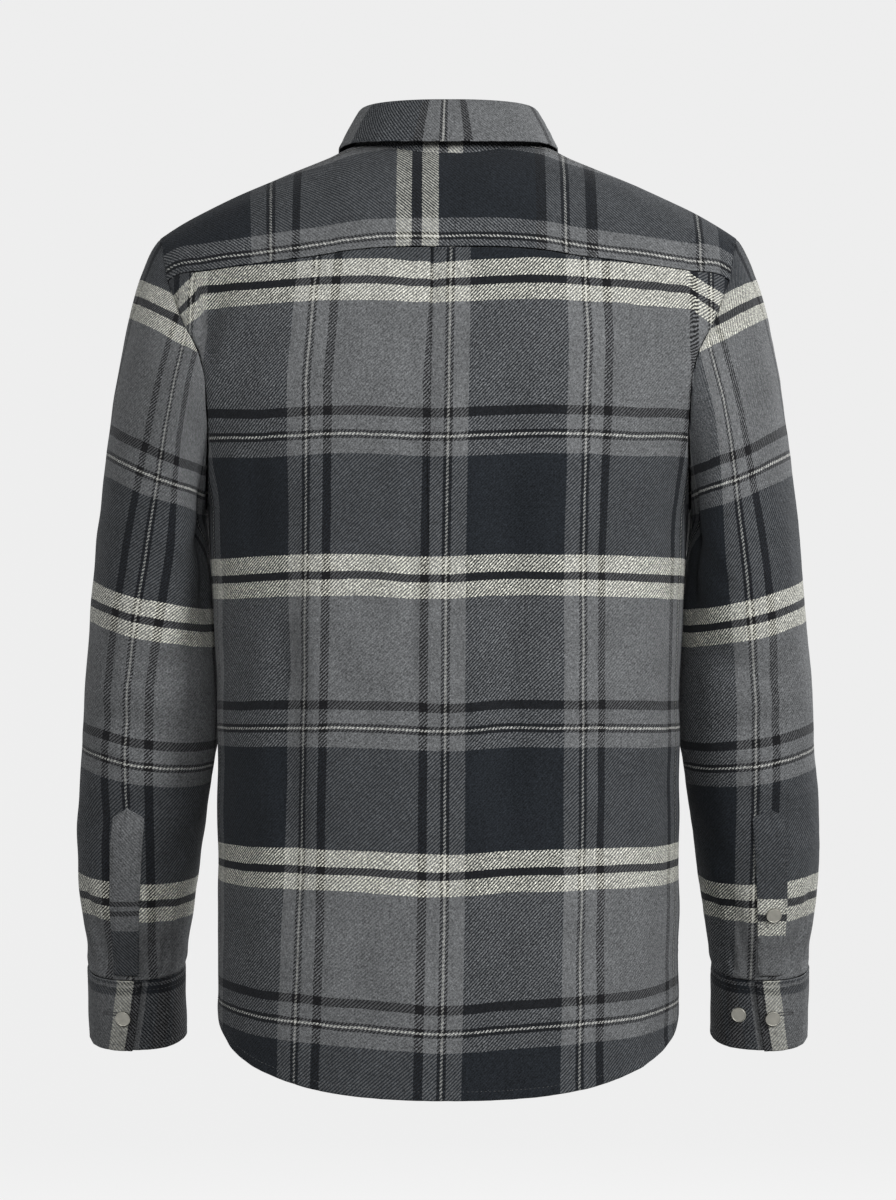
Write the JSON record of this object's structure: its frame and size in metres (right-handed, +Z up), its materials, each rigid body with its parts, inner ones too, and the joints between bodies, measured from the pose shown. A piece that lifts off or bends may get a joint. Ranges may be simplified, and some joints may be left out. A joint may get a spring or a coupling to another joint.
{
  "type": "plaid flannel shirt",
  "caption": "Long-sleeved grey plaid twill flannel shirt with a turn-down collar, back yoke with a box pleat, buttoned cuffs and a curved shirt-tail hem, filled out with no wearer.",
  "frame": {"origin": "the shoulders mount: centre of the neck base, midway between the two side neck points, where the shirt is held", "axes": "+Z up; the shirt faces -Y, its back is towards +Y; +X is the wearer's left"},
  "size_m": [0.6048, 0.2616, 0.7726],
  "materials": {
    "plaid": "brushed twill flannel, woven plaid",
    "plaid_cross": "brushed twill flannel, woven plaid, cut crosswise",
    "button": "satin cast metal shank button"
  },
  "bodies": {
    "root": {"back_panel": "plaid", "yoke": "plaid_cross", "front_left": "plaid", "front_right": "plaid", "collar_stand": "plaid_cross", "collar_leaf": "plaid_cross", "sleeve_left": "plaid", "sleeve_placket_left": "plaid", "cuff_left": "plaid_cross", "sleeve_right": "plaid", "sleeve_placket_right": "plaid", "cuff_right": "plaid_cross", "front_button_1": "button", "front_button_2": "button", "front_button_3": "button", "front_button_4": "button", "front_button_5": "button", "front_button_6": "button", "collar_button": "button", "cuff_button_left": "button", "cuff_button_right_1": "button", "cuff_button_right_2": "button", "placket_button_right": "button"}
  },
  "joints": []
}
